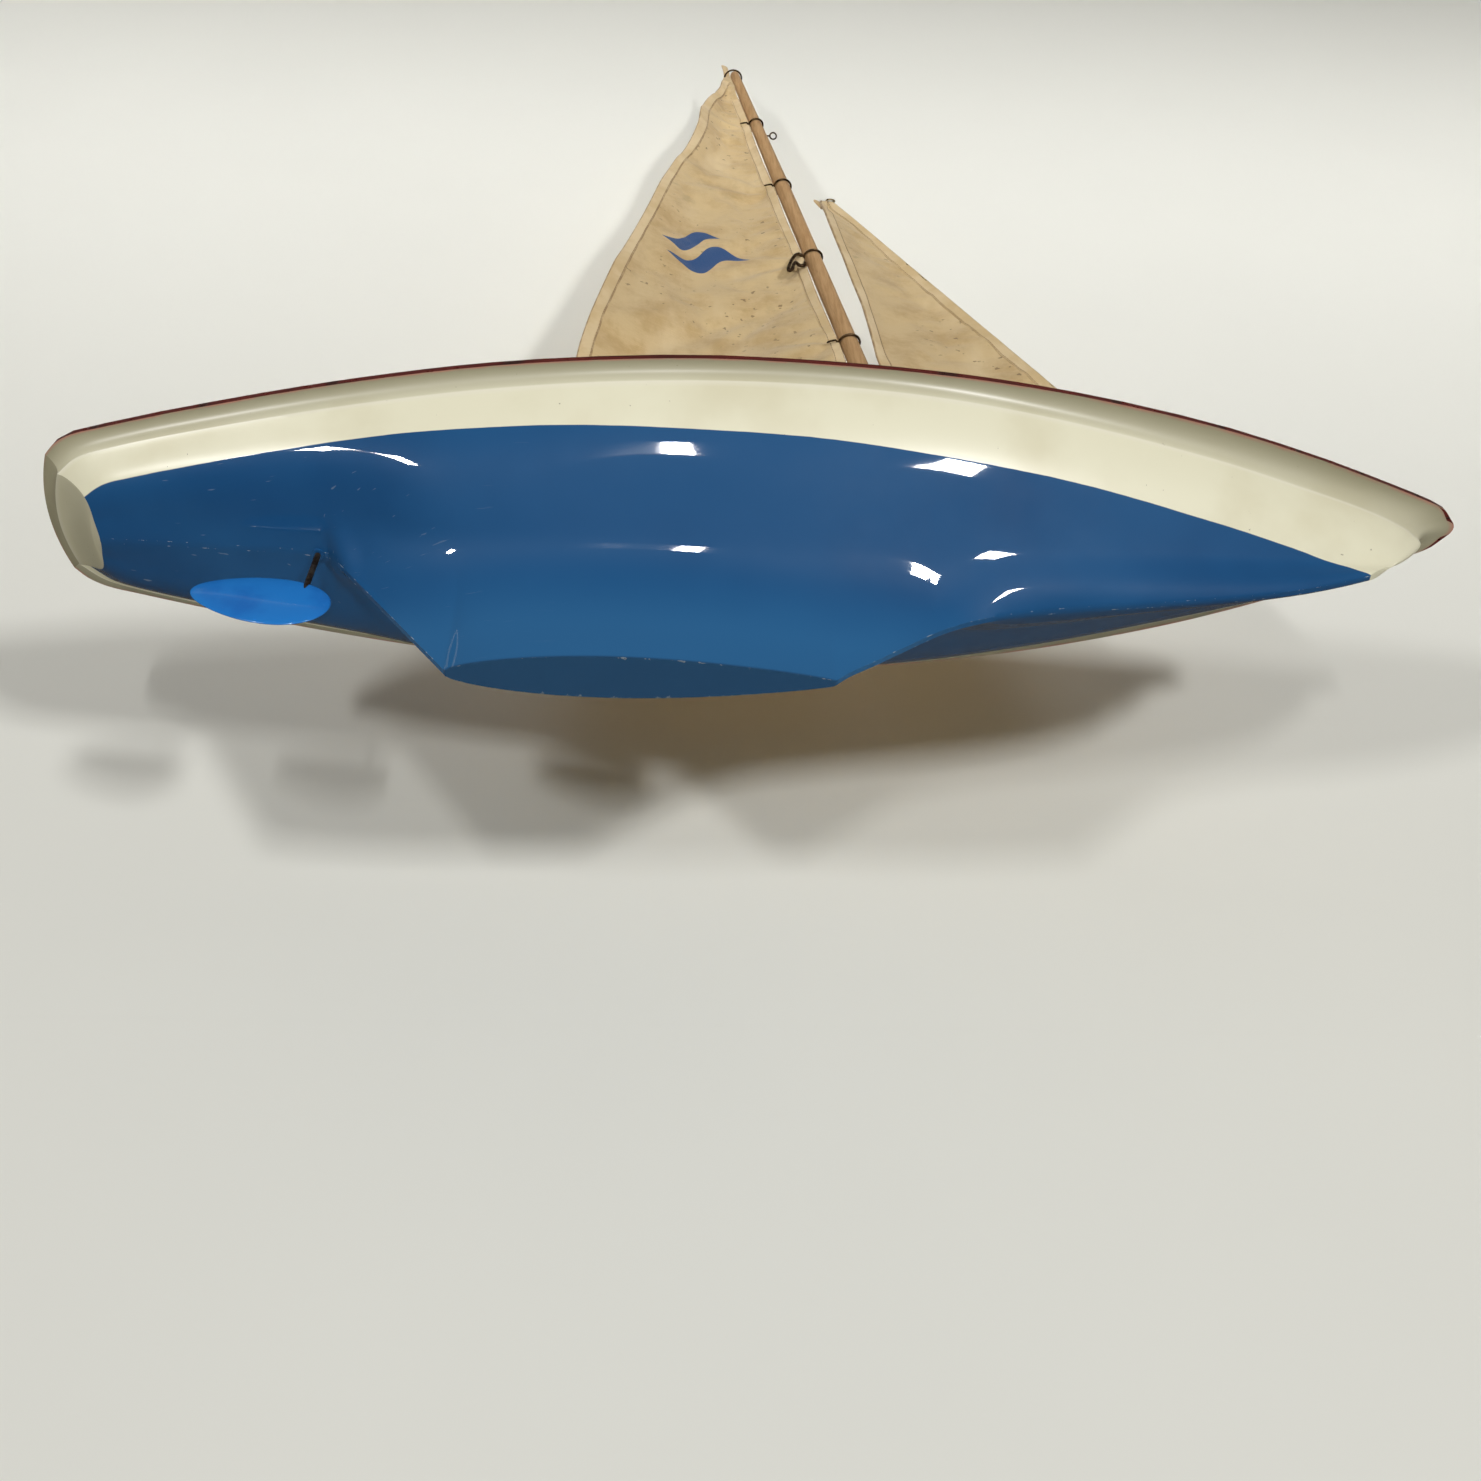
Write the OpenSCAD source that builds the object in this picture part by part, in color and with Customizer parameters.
// Free-sailing toy pond yacht: hollow painted hull with a fin keel, a separate deck,
// a raked dowel mast, a boomed mainsail held by wire rings, a boomed jib and a rudder
// that a tiller sets. Millimetres. +X is the bow, +Y is port, +Z is up. The origin is
// on the flat foot of the keel, under the middle of the deck's length.

/* [Hull] */
// Length of the deck from transom to bow
deck_length = 502; // [490:1:512]
// Widest breadth of the deck
beam = 124.6; // [118:0.2:130]
// Thickness of the deck plate
deck_t = 2.8; // [2.4:0.1:3.2]
// Thickness of the hull wall
wall = 3.6; // [3:0.1:4.2]
// Width of the ledge inside the rim that the deck lies on
ledge = 6; // [5:0.5:7]

/* [Keel and ballast] */
// Half the width of the keel foot at its widest
foot_half = 7.6; // [7:0.1:8.4]
// Length of the lead ballast
ballast_l = 72; // [60:1:76]
// Width of the lead ballast
ballast_w = 7.6; // [6:0.1:8]
// Height of the lead ballast
ballast_h = 24; // [18:1:26]

/* [Mast and booms] */
// Lean of the mast towards the stern, in degrees
rake = 5.2; // [4.6:0.1:5.8]
// Diameter of the mast up to the shoulder
mast_d = 8; // [7.6:0.1:8.4]
// Diameter of the masthead
mast_top_d = 6; // [5.4:0.1:6.6]
// Length of the mast from the step to the masthead
mast_l = 629; // [624:1:634]
// Length of the mast from the step to where its taper starts
shoulder_l = 418; // [390:1:450]
// Diameter of the main boom
main_boom_d = 5; // [4.6:0.1:5.4]
// Length of the main boom
main_boom_l = 146; // [143:1:150]
// Diameter of the jib boom
jib_boom_d = 4; // [3.6:0.1:4.4]
// Length of the jib boom
jib_boom_l = 97; // [96:1:99]

/* [Rings, hooks and eyes] */
// Thickness of the steel wire of the hooks and eyes
wire_d = 0.9; // [0.7:0.1:1.1]
// Thickness of the wire of the hoops round the mast
hoop_d = 1.1; // [0.9:0.1:1.2]
// Gap between a mast ring and the mast
ring_gap = 0.5; // [0.4:0.1:0.8]
// Inner diameter of the screw eyes
eye_d = 3; // [2.6:0.1:3.4]

/* [Sails] */
// Thickness of the sailcloth with its hems
cloth_t = 0.8; // [0.6:0.1:1]

/* [Rudder] */
// Diameter of the rudder stock
stock_d = 2; // [1.8:0.1:2.1]
// Length of the rudder blade, fore and aft
blade_l = 46; // [42:1:48]
// Height of the rudder blade
blade_h = 25; // [22:1:27]
// Thickness of the rudder blade
blade_t = 3; // [2.8:0.1:3.4]
// Length of the tiller in front of the stock
tiller_l = 40; // [36:1:44]

/* [Hidden] */

kx = deck_length / 502;
ky = beam / 124.6;
fine = 48;
small = 24;
glue = 0.1;
slip = 0.05;

// Lines plan. Each pair is a distance from amidships and a height or half breadth there.
rim_half = [[-247, 22], [-243, 26.2], [-237, 29.5], [-228, 32], [-200, 39], [-150, 49.6],
    [-100, 57.6], [-50, 61.8], [-10, 62.3], [50, 58.7], [100, 51.7], [150, 40.8],
    [190, 28.8], [220, 18.1], [240, 10.4], [245, 7.8], [249, 3.6]];
edge_half = [[-242.5, 17.5], [-236, 23], [-228, 26.3], [-200, 33.5], [-150, 44],
    [-100, 52], [-50, 56.4], [0, 56.8], [50, 52.9], [100, 44], [150, 31.6], [184, 21.3],
    [210, 12.8], [225, 6.5], [231.7, 2.2]];
sheer = [[-251, 90.3], [-150, 92.5], [-50, 94.7], [0, 96.1], [50, 97.8], [100, 100.1],
    [150, 103], [190, 105.9], [220, 108.4], [251, 111.3]];
edge_z = [[-242.5, 82.5], [-150, 84.3], [-50, 86.6], [0, 88], [50, 89.6], [100, 91.6],
    [150, 93.8], [190, 95.3], [210, 95.8], [231.7, 95.3]];
body_z = [[-228.3, 70], [-190, 68.5], [-150, 64.5], [-105, 47.3], [-50, 44], [0, 40.2],
    [40, 42.9], [80, 44.8], [104, 46.9], [140, 52.5], [160, 56.4], [178, 61], [193, 66.2],
    [205.6, 71.5]];
keel_front = [[12, 0], [16.5, 4.6], [25, 11], [34, 18.2], [51.5, 31.2], [69, 39],
    [86.7, 43.6], [104, 46.9]];
turn_part = [[-228.3, 0.125], [-150, 0.097], [-50, 0.143], [50, 0.234], [120, 0.352],
    [205.6, 0.43]];
turn_angle = [[-228.3, 5.3], [-150, 11.2], [-100, 31], [-50, 38], [30, 39.5], [80, 42.5],
    [120, 45.8], [205.6, 52]];
turn_half = [[-228.3, 0.44], [-100, 0.38], [0, 0.34], [100, 0.36], [205.6, 0.385]];
side_lean = [[-228.3, 0.13], [-100, 0.18], [0, 0.176], [100, 0.168], [205.6, 0.12]];
ridge_angle = [[-228.3, 6], [-150, 8], [-50, 15], [50, 18], [120, 28], [205.6, 55]];
keel_heel = [-106, -152.3];
rim_ends = [-247, 249];
edge_ends = [-242.5, 231.7];
body_ends = [-228.3, 205.6];
stern_bulge = 4;
bow_bulge = 2;
ridge_half = 0.9;
flare_steps = 4;
side_steps = 7;
keel_steps = 6;
stern_segments = 8;
bow_segments = 4;
// Places of the stations along the hull, closer together where the shape turns
stations = [0, 0.008, 0.02, 0.045, 0.08, 0.12, 0.15, 0.175, 0.195, 0.215, 0.235, 0.255, 0.27,
    0.282, 0.3, 0.33, 0.37, 0.41, 0.45, 0.49, 0.52, 0.545, 0.555, 0.57, 0.59, 0.61, 0.63,
    0.65, 0.67, 0.695, 0.73, 0.77, 0.81, 0.85, 0.89, 0.92, 0.945, 0.965, 0.98, 0.992, 1];
inside_span = [0.05, 0.925];
wall_rise = 0.7;

// Places of the fittings
mast_x = 52.8 * kx;
mast_foot_z = 61.9;
stock_x = -156 * kx;
blade_mid = [-169 * kx, 37.5];
blade_tilt = -12;
tack_x = 159 * kx;
tack_eye_d = 4;
tack_shank = 3.4;
jib_hook_r = 2;
jib_head = [44.3, 445.6];
mast_eye_z = 557;
mast_eye_shank = 4;
mast_eye_turn = 52;
main_eye_back = 92;
jib_eye_back = 80;
beam_places = [-110 * kx, -10 * kx, 110 * kx];
beam_section = [6, 7];
ballast_floor = 5.5;
ballast_x = -50 * kx;
pocket_gap = 0.25;
ring_heights = [152, 256, 358, 464, 578];
ring_tilt = 20;
head_ring_z = 684.6;
head_ring_back = 2.3;
luff_back = 7;
main_boom_z = 113.5;
seat = 0.3;
collar_d = 15;
collar_h = 4;
pin_places = [-225, -165, -105, -45, 15, 75, 135, 185, 225];
rack_r = 36;
rack_w = 7;
head_eyelet_r = 2.2;
jib_wire_l = 342;
rack_t = 1;
rack_half_angle = 40;
rack_pin_angles = [-36, 36];
deck_eye_depth = 1.6;
step_size = [18, 15, 8];
sheet_eye_x = [-86 * kx, 68 * kx];

// Value at x of the smooth curve through the pairs in t
function slope(t, i) = let (a = max(i - 1, 0), b = min(i + 1, len(t) - 1))
    (t[b][1] - t[a][1]) / (t[b][0] - t[a][0]);
function segment(t, x) = max([for (i = [0:len(t) - 2]) if (i == 0 || x >= t[i][0]) i]);
function curve(t, x) = let (
    c = min(max(x, t[0][0]), t[len(t) - 1][0]),
    i = segment(t, c),
    w = t[i + 1][0] - t[i][0],
    s = (c - t[i][0]) / w
) (1 + 2 * s) * (1 - s) ^ 2 * t[i][1] + s * (1 - s) ^ 2 * w * slope(t, i)
    + s * s * (3 - 2 * s) * t[i + 1][1] + s * s * (s - 1) * w * slope(t, i + 1);
function between(a, b, s) = a + (b - a) * s;
function clamp01(s) = min(max(s, 0), 1);
function ease(s) = let (c = clamp01(s)) c * c * (3 - 2 * c);

// The hull's lines at a true distance x from amidships
function rim_y(x) = ky * curve(rim_half, x / kx);
function edge_y(x) = ky * curve(edge_half, x / kx);
function deck_z(x) = curve(sheer, x / kx);
function canoe_z(x) = curve(body_z, x / kx);
function heel_z(x) = canoe_z(kx * keel_heel[1])
    * (x / kx - keel_heel[0]) / (keel_heel[1] - keel_heel[0]);
function keel_z(x) = let (s = x / kx, last = len(keel_front) - 1)
    s < keel_heel[0] ? min(canoe_z(x), heel_z(x))
    : s < keel_front[0].x ? 0
    : s < keel_front[last].x ? min(canoe_z(x), curve(keel_front, s)) : canoe_z(x);
function foot_part(x) = clamp01((x / kx - keel_heel[0]) / (keel_front[0][0] - keel_heel[0]));
function foot_y(x) = ridge_half
    + (foot_half - ridge_half) * max(sin(180 * foot_part(x) ^ 0.8), 0) ^ 0.8;
function keel_depth(x) = ease((canoe_z(x) - keel_z(x)) / 16);

// One side of the section at part u of the length: rim, flare, side, turn and keel
function bezier(a, b, c, d, s) = (1 - s) ^ 3 * a + 3 * s * (1 - s) ^ 2 * b
    + 3 * s * s * (1 - s) * c + s ^ 3 * d;
function edge_x(u) = kx * between(edge_ends[0], edge_ends[1], u);
function body_x(u) = kx * between(body_ends[0], body_ends[1], u);
function edge_at(u) = [edge_y(edge_x(u)), curve(edge_z, edge_x(u) / kx)];
function turn_at(u) = let (x = body_x(u), zc = canoe_z(x), edge = edge_at(u))
    [curve(turn_half, x / kx) * edge.x, between(zc, edge.y, curve(turn_part, x / kx))];
function turn_way(u) = let (a = curve(turn_angle, body_x(u) / kx)) [cos(a), sin(a)];
function placed(u, p) = let (
    top = edge_at(u).y,
    low = clamp01((top - p.y) / (top - canoe_z(body_x(u)))) ^ between(0.7, 1.25, u)
) [between(edge_x(u), body_x(u), low), p.x, p.y];
function side_points(u) = let (
    edge = edge_at(u),
    turn = turn_at(u),
    p1 = edge - [curve(side_lean, body_x(u) / kx) * edge.x, 0.52 * (edge.y - turn.y)],
    p2 = turn + 0.42 * edge.x * turn_way(u)
) [for (i = [0:side_steps]) placed(u, bezier(edge, p1, p2, turn, i / side_steps))];
function flare_points(u) = let (
    xr = kx * between(rim_ends[0], rim_ends[1], u),
    rim = [xr, rim_y(xr), deck_z(xr) - deck_t - glue],
    edge = [edge_x(u), edge_at(u).x, edge_at(u).y]
) [for (i = [0:flare_steps - 1]) let (a = 80 * (1 - i / flare_steps), s = (1 - cos(a)) / (1 - cos(80)))
    [between(edge.x, rim.x, s), between(edge.y, rim.y, s), between(edge.z, rim.z, sin(a) / sin(80))]];
function keel_points(u) = let (
    x = body_x(u),
    turn = turn_at(u),
    foot = [foot_y(x), keel_z(x)],
    a = between(curve(ridge_angle, x / kx), 88, keel_depth(x)),
    reach = norm(turn - foot),
    p4 = turn - 0.33 * reach * turn_way(u),
    p5 = foot + 0.4 * reach * [cos(a), sin(a)]
) [for (i = [1:keel_steps]) placed(u, bezier(turn, p4, p5, foot, i / keel_steps))];
function half_section(u) = concat(flare_points(u), side_points(u), keel_points(u));
// The inside of the wall: the lip under the deck, then the side moved in and up
function inner_section(u) = let (x = edge_x(u)) concat(
    [[x, max(rim_y(x) - ledge, 0.6 * edge_y(x)), deck_z(x) - deck_t - glue]],
    [for (p = side_points(u)) [p.x, p.y - wall, p.z + wall_rise * wall]]
);

// A closed loop around the hull through row j of the sections in g
function cap(p, bulge, s) = [p.x + bulge * (1 - s * s), p.y * s, p.z];
function loop(g, j, aft, fore) = let (n = len(g) - 1) concat(
    [for (c = [1:stern_segments - 1]) cap(g[0][j], aft, 1 - 2 * c / stern_segments)],
    [for (k = [0:n]) [g[k][j].x, -g[k][j].y, g[k][j].z]],
    [for (c = [1:bow_segments - 1]) cap(g[n][j], fore, 2 * c / bow_segments - 1)],
    [for (k = [n:-1:0]) g[k][j]]
);
// Triangles between two loops of n points that start at a and b, and a floor for a loop
function band(a, b, n, flip) = [for (i = [0:n - 1]) let (k = (i + 1) % n)
    each flip ? [[a + i, b + k, a + k], [a + i, b + i, b + k]]
        : [[a + i, a + k, b + k], [a + i, b + k, b + i]]];
function bottom(a, n, m, down) = let (s = a + stern_segments - 1, p = a + n - 1, e = s + m - 1)
    [for (t = concat(
        [for (k = [0:m - 2]) each [[s + k, s + k + 1, p - k], [s + k + 1, p - k - 1, p - k]]],
        [for (c = [0:stern_segments - 2]) [s, c == 0 ? p : a + c - 1, a + c]],
        [for (c = [1:bow_segments - 1]) [e, e + c, e + c + 1]]
    )) down ? t : [t[0], t[2], t[1]]];
module hull_body() {
    out = [for (u = stations) half_section(u)];
    ins = [for (u = stations) inner_section(between(inside_span[0], inside_span[1], u))];
    rows = len(out[0]);
    inner_rows = len(ins[0]);
    n = 2 * len(stations) + stern_segments + bow_segments - 2;
    points = concat(
        [for (j = [0:rows - 1]) let (f = 1 - j / rows)
            each loop(out, j, -stern_bulge * f, bow_bulge * f)],
        [for (j = [0:inner_rows - 1]) each loop(ins, j, -1, 1)]
    );
    start = rows * n;
    faces = concat(
        [for (j = [0:rows - 2]) each band(j * n, (j + 1) * n, n, false)],
        [for (j = [0:inner_rows - 2]) each band(start + j * n, start + (j + 1) * n, n, true)],
        band(0, start, n, true),
        bottom((rows - 1) * n, n, len(stations), true),
        bottom(start + (inner_rows - 1) * n, n, len(stations), false)
    );
    polyhedron(points, faces);
}

// Moves its child onto the mast's axis, at a height above the keel foot
function mast_axis_x(z) = mast_x - tan(rake) * (z - deck_z(mast_x));
main_boom_x = mast_axis_x(main_boom_z) - mast_d / 2 - 3;
module on_mast(z) {
    translate([mast_axis_x(z), 0, z]) rotate([0, -rake, 0]) children();
}
// Keeps only what is above the deck
module above_deck() {
    difference() {
        children();
        deck_slab(deck_z(-251) - 40, 0);
    }
}
// A slab the shape of the sheer, from a fixed height below up to drop below the deck line
module deck_slab(low, drop) {
    xs = [for (i = [0:24]) between(-254 * kx, 254 * kx, i / 24)];
    rotate([90, 0, 0]) linear_extrude(2 * beam, center = true)
        polygon(concat([for (x = xs) [x, deck_z(x) - drop]], [[254 * kx, low], [-254 * kx, low]]));
}
// An eye of wire at the end of a straight shank that points down
module screw_eye(shank, inner = eye_d) {
    r = (inner + wire_d) / 2;
    translate([0, 0, shank + r]) rotate([90, 0, 0])
        rotate_extrude($fn = fine) translate([r, 0]) circle(d = wire_d, $fn = small);
    cylinder(h = shank + wire_d / 2, d = wire_d, $fn = small);
}

module hull_shell() {
    color("#2f6296") difference() {
        hull_body();
        translate([stock_x, 0, 50]) cylinder(h = 60, d = stock_d + 2.2, $fn = fine);
        translate([ballast_x, 0, ballast_floor + 25]) cube(
            [ballast_l + 2 * pocket_gap, ballast_w + 2 * pocket_gap, 50], center = true);
    }
}
module deck_outline() {
    xs = [for (u = stations) kx * between(rim_ends[0], rim_ends[1], u)];
    n = len(xs) - 1;
    polygon(concat(
        [for (c = [1:stern_segments - 1]) let (s = 1 - 2 * c / stern_segments)
            [xs[0] - stern_bulge * (1 - s * s), s * rim_y(xs[0])]],
        [for (x = xs) [x, -rim_y(x)]],
        [for (c = [1:bow_segments - 1]) let (s = 2 * c / bow_segments - 1)
            [xs[n] + bow_bulge * (1 - s * s), s * rim_y(xs[n])]],
        [for (k = [n:-1:0]) [xs[k], rim_y(xs[k])]]
    ));
}
module deck() {
    color("#60201c") difference() {
        intersection() {
            linear_extrude(200) deck_outline();
            deck_slab(40, 0);
        }
        deck_slab(30, deck_t);
        on_mast(deck_z(mast_x)) cylinder(h = 30, d = mast_d + 2 * slip, center = true, $fn = fine);
        translate([stock_x, 0, 80]) cylinder(h = 40, d = stock_d + 2.2, $fn = fine);
        for (x = [tack_x, sheet_eye_x[0], sheet_eye_x[1]])
            translate([x, 0, deck_z(x) - deck_eye_depth - slip])
                cylinder(h = 9, d = wire_d + 2 * slip, $fn = small);
    }
}
module deck_beam(x) {
    top = deck_z(x - beam_section.x / 2) - deck_t - glue;
    half = edge_y(x) - wall - 4;
    color("#b99468") translate([x, 0, top - beam_section.y / 2])
        cube([beam_section.x, 2 * half, beam_section.y], center = true);
}
module mast_step() {
    x = mast_axis_x(mast_foot_z);
    color("#b99468") difference() {
        translate([x, 0, mast_foot_z + 1]) cube(step_size, center = true);
        on_mast(mast_foot_z) cylinder(h = 30, d = mast_d + 2 * slip, $fn = fine);
    }
}
module mast_collar() {
    color("#b8963e") above_deck() difference() {
        on_mast(deck_z(mast_x) - 2) cylinder(h = collar_h + 2, d = collar_d, $fn = fine);
        on_mast(deck_z(mast_x) - 9) cylinder(h = 30, d = mast_d + 2 * slip, $fn = fine);
    }
}
module keel_ballast() {
    color("#6c6e72") translate([ballast_x, 0, ballast_floor + pocket_gap + ballast_h / 2])
        cube([ballast_l, ballast_w, ballast_h], center = true);
}
module ballast_cap() {
    low = ballast_floor + 2 * pocket_gap + ballast_h;
    color("#b99468") translate([ballast_x, 0, low + 4])
        cube([ballast_l, ballast_w, 8], center = true);
}
module deck_pins() {
    color("#c8a24c") for (x = pin_places, side = [-1, 1]) {
        y = rim_y(x * kx) - 2.6;
        above_deck() translate([x * kx, side * y, deck_z(x * kx) - 1])
            cylinder(h = 1.35, d = 1.6, $fn = small);
    }
}
module rudder_tube() {
    low = canoe_z(stock_x) - 0.8;
    top = deck_z(stock_x) + 0.6;
    color("#b8963e") translate([stock_x, 0, low]) difference() {
        cylinder(h = top - low, d = stock_d + 2, $fn = fine);
        translate([0, 0, -1]) cylinder(h = 60, d = stock_d + 2 * slip, $fn = fine);
    }
}
module rudder_stock() {
    low = blade_mid.y - 4;
    color("#5a5348") translate([stock_x, 0, low])
        cylinder(h = deck_z(stock_x) + 5 - low, d = stock_d, $fn = fine);
}
module blade_outline() {
    translate(blade_mid) rotate(blade_tilt)
        polygon([for (a = [0:8:352]) [blade_l / 2 * cos(a),
            blade_h / 2 * sin(a) * (1 + 0.22 * cos(a))]]);
}
module rudder_blade() {
    color("#2a73c0") difference() {
        rotate([90, 0, 0]) linear_extrude(blade_t, center = true) blade_outline();
        translate([stock_x, 0, blade_mid.y - 4 - slip])
            cylinder(h = 40, d = stock_d + 2 * slip, $fn = fine);
    }
}
module stock_washer() {
    color("#b8963e") translate([stock_x, 0, deck_z(stock_x) + 0.9]) difference() {
        cylinder(h = 0.6, d = stock_d + 3.4, $fn = fine);
        translate([0, 0, -1]) cylinder(h = 4, d = stock_d + 2 * slip, $fn = fine);
    }
}
module tiller() {
    z = deck_z(stock_x) + 2;
    color("#b8963e") translate([stock_x, 0, z]) difference() {
        union() {
            cylinder(h = 2.6, d = stock_d + 2.4, $fn = fine);
            translate([0, -0.9, 0.4]) cube([tiller_l, 1.8, 1.6]);
            translate([tiller_l, 0, 0.4]) cylinder(h = 1.6, d = 4, $fn = fine);
        }
        translate([0, 0, -1]) cylinder(h = 6, d = stock_d + 2 * slip, $fn = fine);
    }
}
module tiller_rack() {
    z = deck_z(stock_x + rack_r) + 0.15;
    color("#b8963e") translate([stock_x, 0, z]) difference() {
        rotate([0, 0, -rack_half_angle]) rotate_extrude(angle = 2 * rack_half_angle, $fn = fine)
            translate([rack_r - rack_w, 0]) square([rack_w, rack_t]);
        for (a = [-30:6:30]) rotate([0, 0, a]) translate([rack_r - rack_w, 0, -1])
            cylinder(h = 4, d = 1.4, $fn = small);
        for (a = rack_pin_angles) rotate([0, 0, a]) translate([rack_r - 2, 0, -1])
            cylinder(h = 4, d = 1.3, $fn = small);
    }
}
module rack_pins() {
    z = deck_z(stock_x + rack_r) + 0.15;
    color("#c8a24c") for (a = rack_pin_angles) translate([stock_x, 0, z]) rotate([0, 0, a])
        translate([rack_r - 2, 0, 0]) {
            cylinder(h = rack_t + 0.1, d = 1.2, $fn = small);
            translate([0, 0, rack_t + 0.05]) cylinder(h = 0.5, d = 2.2, $fn = small);
        }
}
module mast() {
    color("#a8825f") difference() {
        on_mast(mast_foot_z + slip) {
            cylinder(h = shoulder_l, d = mast_d, $fn = fine);
            translate([0, 0, shoulder_l])
                cylinder(h = mast_l - shoulder_l, d1 = mast_d, d2 = mast_top_d, $fn = fine);
        }
        on_mast(mast_eye_z) translate([1.6, 0, 0]) rotate([0, 90, 0])
            cylinder(h = 9, d = wire_d + 2 * slip, $fn = small);
    }
}
module mast_eye() {
    color("#4a3c2c") on_mast(mast_eye_z) translate([1.8, 0, 0]) rotate([0, 90, 0])
        rotate(mast_eye_turn) screw_eye(mast_eye_shank);
}
module mast_stop() {
    color("#b8963e") on_mast(main_boom_z - 5.5) difference() {
        cylinder(h = 1.6, d = mast_d + 3, $fn = fine);
        translate([0, 0, -1]) cylinder(h = 4, d = mast_d + 2 * slip, $fn = fine);
    }
}
module ring(inner) {
    rotate_extrude($fn = fine) translate([inner + hoop_d / 2, 0]) circle(d = hoop_d, $fn = small);
}
function along_mast(z) = (z - mast_foot_z) / cos(rake);
function mast_r(z) = between(mast_d, mast_top_d,
    clamp01((along_mast(z) - shoulder_l) / (mast_l - shoulder_l))) / 2;
// Wire hoops round the mast, each with a tail that hooks into the luff of the sail
module mast_rings() {
    color("#3a2a18") for (z = ring_heights) on_mast(z) {
        inner = mast_r(z) + ring_gap;
        back = inner + hoop_d / 2;
        rotate([ring_tilt, 0, 0]) ring(inner);
        translate([-back, 0, 0]) rotate([0, -118, 0])
            cylinder(h = luff_back + 2 - back, d = wire_d, $fn = small);
    }
    // The top hoop is wider and holds the head of the sail against the mast
    color("#3a2a18") on_mast(head_ring_z) translate([-head_ring_back, 0, 0])
        ring(head_ring_back + mast_r(head_ring_z) + ring_gap);
}
module boom_jaw_ring() {
    r = (mast_d + hoop_d) / 2 + ring_gap;
    color("#3a2a18") on_mast(main_boom_z) {
        ring(mast_d / 2 + ring_gap);
        translate([-r, 0, 0]) rotate([0, -90, 0]) cylinder(h = 7, d = wire_d, $fn = small);
    }
}
module main_boom() {
    x = main_boom_x;
    color("#a8825f") difference() {
        translate([x, 0, main_boom_z]) rotate([0, -90, 0])
            cylinder(h = main_boom_l, d = main_boom_d, $fn = fine);
        on_mast(main_boom_z) translate([-mast_d, 0, 0]) rotate([0, -90, 0])
            cylinder(h = 12, d = wire_d + 2 * slip, center = true, $fn = small);
        translate([x - main_eye_back, 0, main_boom_z - main_boom_d / 2 - 1])
            cylinder(h = 3, d = wire_d + 2 * slip, $fn = small);
    }
}
module main_boom_eye() {
    color("#3a2a18")
        translate([main_boom_x - main_eye_back, 0, main_boom_z - main_boom_d / 2 + 1.5])
            rotate([180, 0, 0]) screw_eye(2.6);
}
function luff_x(z) = mast_axis_x(z) - luff_back;
module mainsail() {
    foot = main_boom_z + main_boom_d / 2 + seat;
    leech = [[-9.5, 668], [-20.5, 614], [-28, 548], [-42, 476], [-65, 347.5], [-82, 236],
        [main_boom_x - main_boom_l + 4, foot]];
    head = [for (p = [[640, -5.5], [684, -4], [704, -3.6], [706, -8], [684, -8.2]])
        [mast_axis_x(p.x) + p.y, p.x]];
    color("#d7bf96") rotate([90, 0, 0]) linear_extrude(cloth_t, center = true)
        polygon(concat([[luff_x(foot), foot], [luff_x(590), 590]], head, leech));
}
function jib_boom_z() = deck_z(tack_x) - deck_eye_depth + tack_shank + tack_eye_d + 1.5 * wire_d;
module on_luff(s) {
    run = tack_x - jib_head.x;
    rise = jib_head.y - jib_boom_z();
    translate([tack_x, 0, jib_boom_z()]) rotate([0, -atan2(run, rise), 0])
        translate([0, 0, s < 0 ? norm([run, rise]) + s : s]) children();
}
module jib() {
    foot = jib_boom_z() + jib_boom_d / 2 + seat;
    color("#d7bf96") rotate([90, 0, 0]) linear_extrude(cloth_t, center = true) polygon([
        [tack_x - 0.6, foot], [jib_head.x + 2.4, jib_head.y - 4], [jib_head.x - 0.5, jib_head.y + 3],
        [jib_head.x - 12, jib_head.y + 8], [jib_head.x - 13, jib_head.y + 4],
        [jib_head.x - 8, jib_head.y - 20], [tack_x - jib_boom_l, foot]]);
}
module jib_luff_wire() {
    color("#8c8472") on_luff(4.5) cylinder(h = jib_wire_l, d = wire_d, $fn = small);
}
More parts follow.
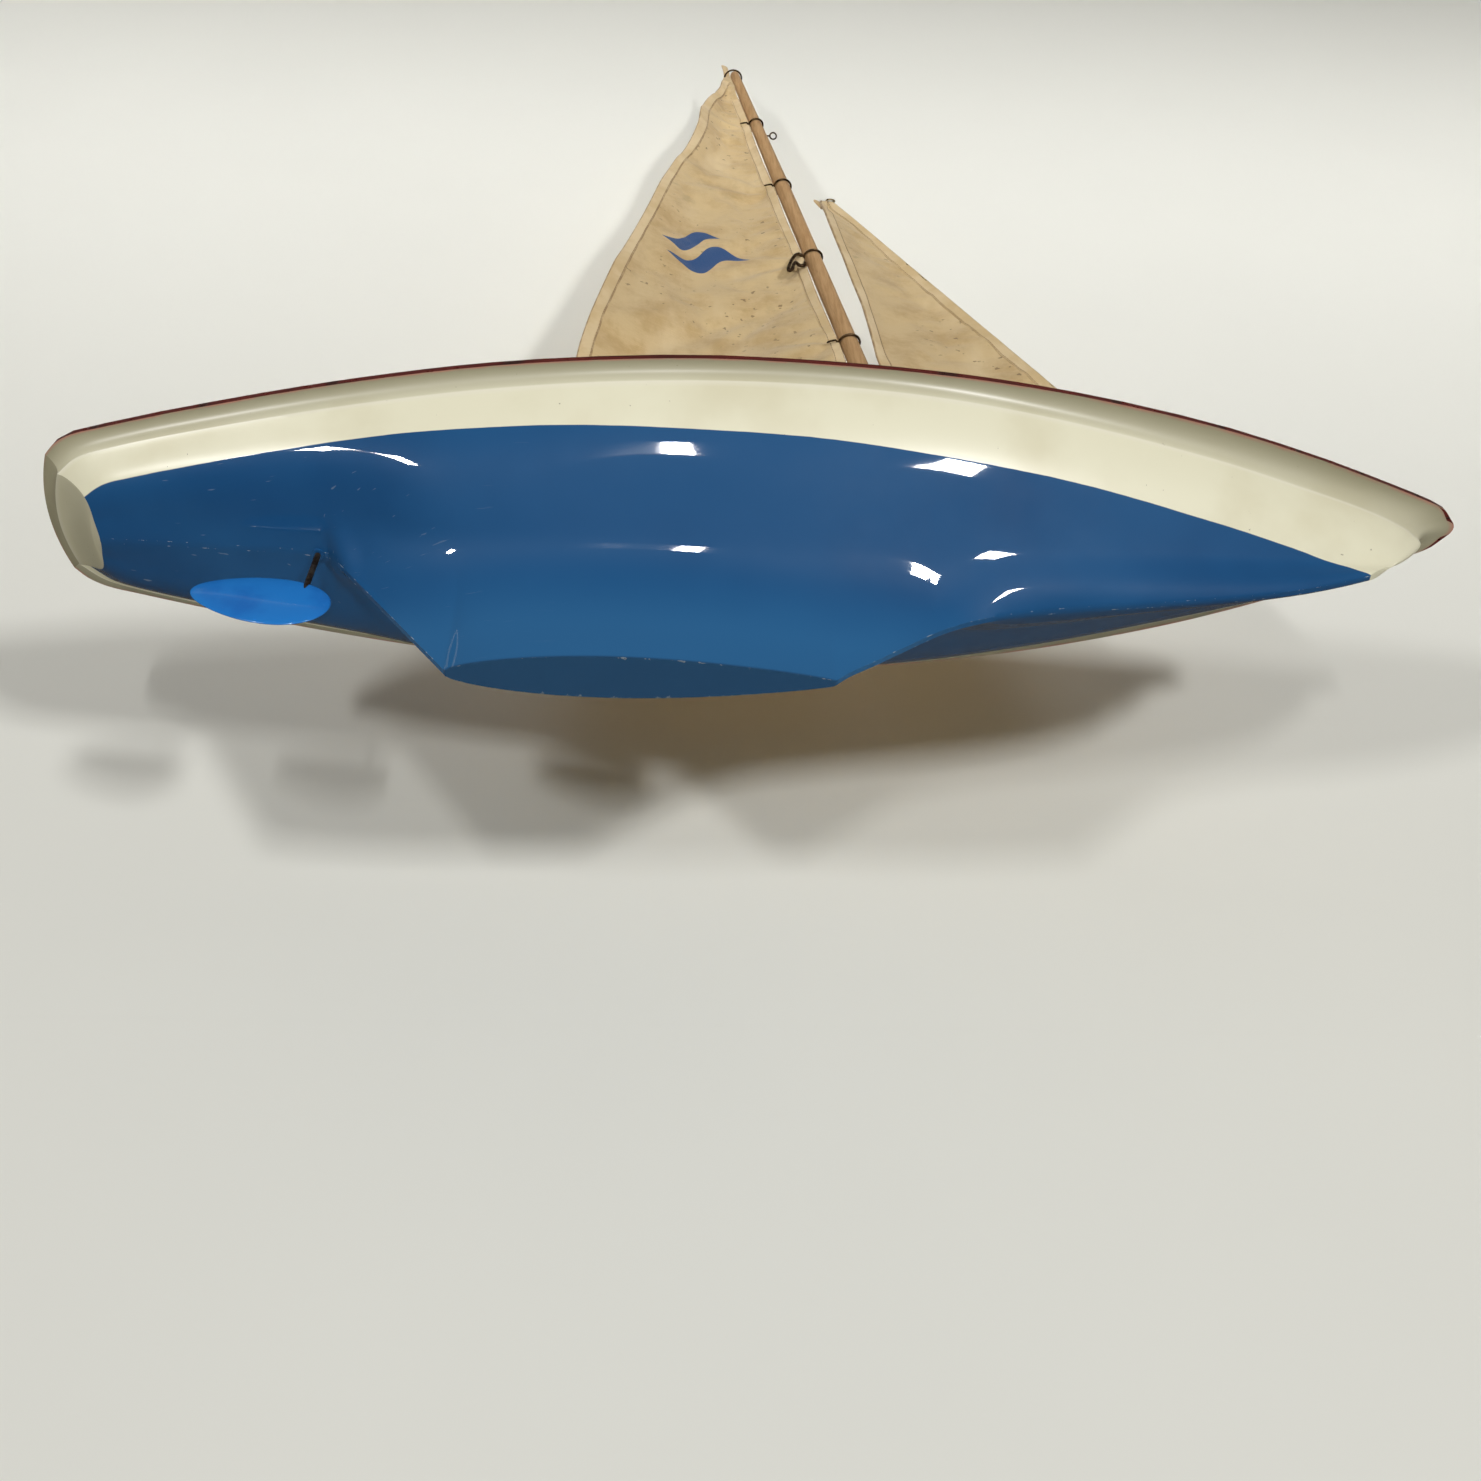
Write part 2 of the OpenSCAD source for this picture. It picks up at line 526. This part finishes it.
module jib_head_ring() {
    color("#8a7c5c") on_luff(-1) rotate([90, 0, 0])
        rotate_extrude($fn = fine) translate([head_eyelet_r, 0]) circle(d = wire_d, $fn = small);
}
module jib_boom() {
    z = jib_boom_z();
    color("#a8825f") difference() {
        translate([tack_x - 4, 0, z]) rotate([0, -90, 0])
            cylinder(h = jib_boom_l - 4, d = jib_boom_d, $fn = fine);
        translate([tack_x - 2, 0, z]) rotate([0, -90, 0])
            cylinder(h = 8, d = wire_d + 2 * slip, $fn = small);
        translate([tack_x - jib_eye_back, 0, z - jib_boom_d / 2 - 1])
            cylinder(h = 2.8, d = wire_d + 2 * slip, $fn = small);
    }
}
module jib_boom_hook() {
    color("#3a2a18") translate([tack_x, 0, jib_boom_z()]) {
        rotate([90, 0, 0]) rotate_extrude($fn = fine)
            translate([jib_hook_r, 0]) circle(d = wire_d, $fn = small);
        translate([-jib_hook_r, 0, 0]) rotate([0, -90, 0])
            cylinder(h = 6, d = wire_d, $fn = small);
    }
}
module jib_boom_eye() {
    color("#3a2a18") translate([tack_x - jib_eye_back, 0, jib_boom_z() - jib_boom_d / 2 + 1.2])
        rotate([180, 0, 0]) screw_eye(2.2);
}
module deck_eye(x, stem, inner = eye_d) {
    color("#3a2a18") translate([x, 0, deck_z(x) - deck_eye_depth]) rotate([0, 0, 90])
        screw_eye(stem, inner);
}

hull_shell();
deck();
deck_beam(beam_places[0]);  // deck_beam_aft
deck_beam(beam_places[1]);  // deck_beam_mid
deck_beam(beam_places[2]);  // deck_beam_fore
mast_step();
mast_collar();
keel_ballast();
ballast_cap();
deck_pins();
rudder_tube();
rudder_stock();
rudder_blade();
stock_washer();
tiller();
tiller_rack();
rack_pins();
mast();
mast_eye();
mast_stop();
main_boom();
boom_jaw_ring();
main_boom_eye();
mast_rings();
mainsail();
deck_eye(tack_x, tack_shank, tack_eye_d);  // jib_deck_eye
jib_boom();
jib_boom_hook();
jib_boom_eye();
jib_luff_wire();
jib();
jib_head_ring();
deck_eye(sheet_eye_x[0], 3.6);  // main_sheet_eye
deck_eye(sheet_eye_x[1], 3.6);  // jib_sheet_eye
